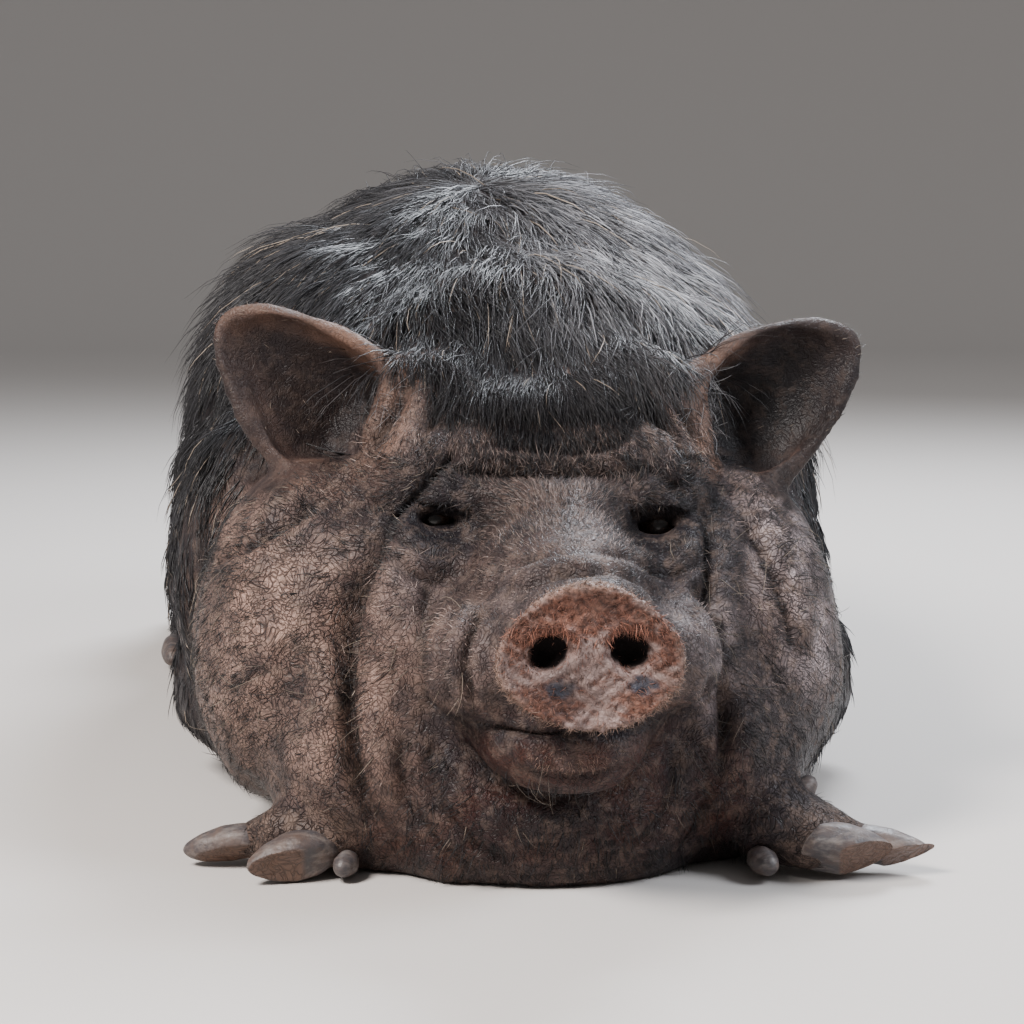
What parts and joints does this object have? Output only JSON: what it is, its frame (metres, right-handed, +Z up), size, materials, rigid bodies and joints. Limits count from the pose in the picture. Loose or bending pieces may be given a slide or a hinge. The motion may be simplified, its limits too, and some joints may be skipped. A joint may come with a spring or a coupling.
{
  "type": "pot bellied pig",
  "caption": "Very fat black pot bellied pig lying on its belly, head low between splayed forefeet, with upright cupped ears, heavy jowls and a bristly crest.",
  "frame": {"origin": "centre of the bounding box's base, on the floor the pig lies on", "axes": "+Z up; +Y from the snout to the tail, so the pig faces -Y; +X to the pig's left"},
  "size_m": [0.468, 1.0128, 0.3699],
  "materials": {
    "hide": "black grey wrinkled skin under dark bristles, dusty brown on the jowls",
    "ear_skin": "thin brown grey skin, darker inside the cup, furry rim",
    "snout_skin": "bare grey pink disc, stained with red brown earth",
    "horn": "satin grey black horn with pale streaks and a worn brown sole",
    "eye": "wet dark eyeball"
  },
  "bodies": {
    "root": {"claw_front_left_inner": "horn", "claw_front_left_outer": "horn", "claw_front_right_inner": "horn", "claw_front_right_outer": "horn", "claw_hind_left_inner": "horn", "claw_hind_left_outer": "horn", "claw_hind_right_inner": "horn", "claw_hind_right_outer": "horn", "dewclaw_front_left_inner": "horn", "dewclaw_front_left_outer": "horn", "dewclaw_front_right_inner": "horn", "dewclaw_front_right_outer": "horn", "dewclaw_hind_left_inner": "horn", "dewclaw_hind_left_outer": "horn", "dewclaw_hind_right_inner": "horn", "dewclaw_hind_right_outer": "horn", "ear_left": "ear_skin", "ear_right": "ear_skin", "eye_left": "eye", "eye_right": "eye", "head": "hide", "leg_front_left": "hide", "leg_front_right": "hide", "leg_hind_left": "hide", "leg_hind_right": "hide", "lower_jaw": "hide", "neck": "hide", "snout": "snout_skin", "tail": "hide", "trunk": "hide"}
  },
  "joints": []
}
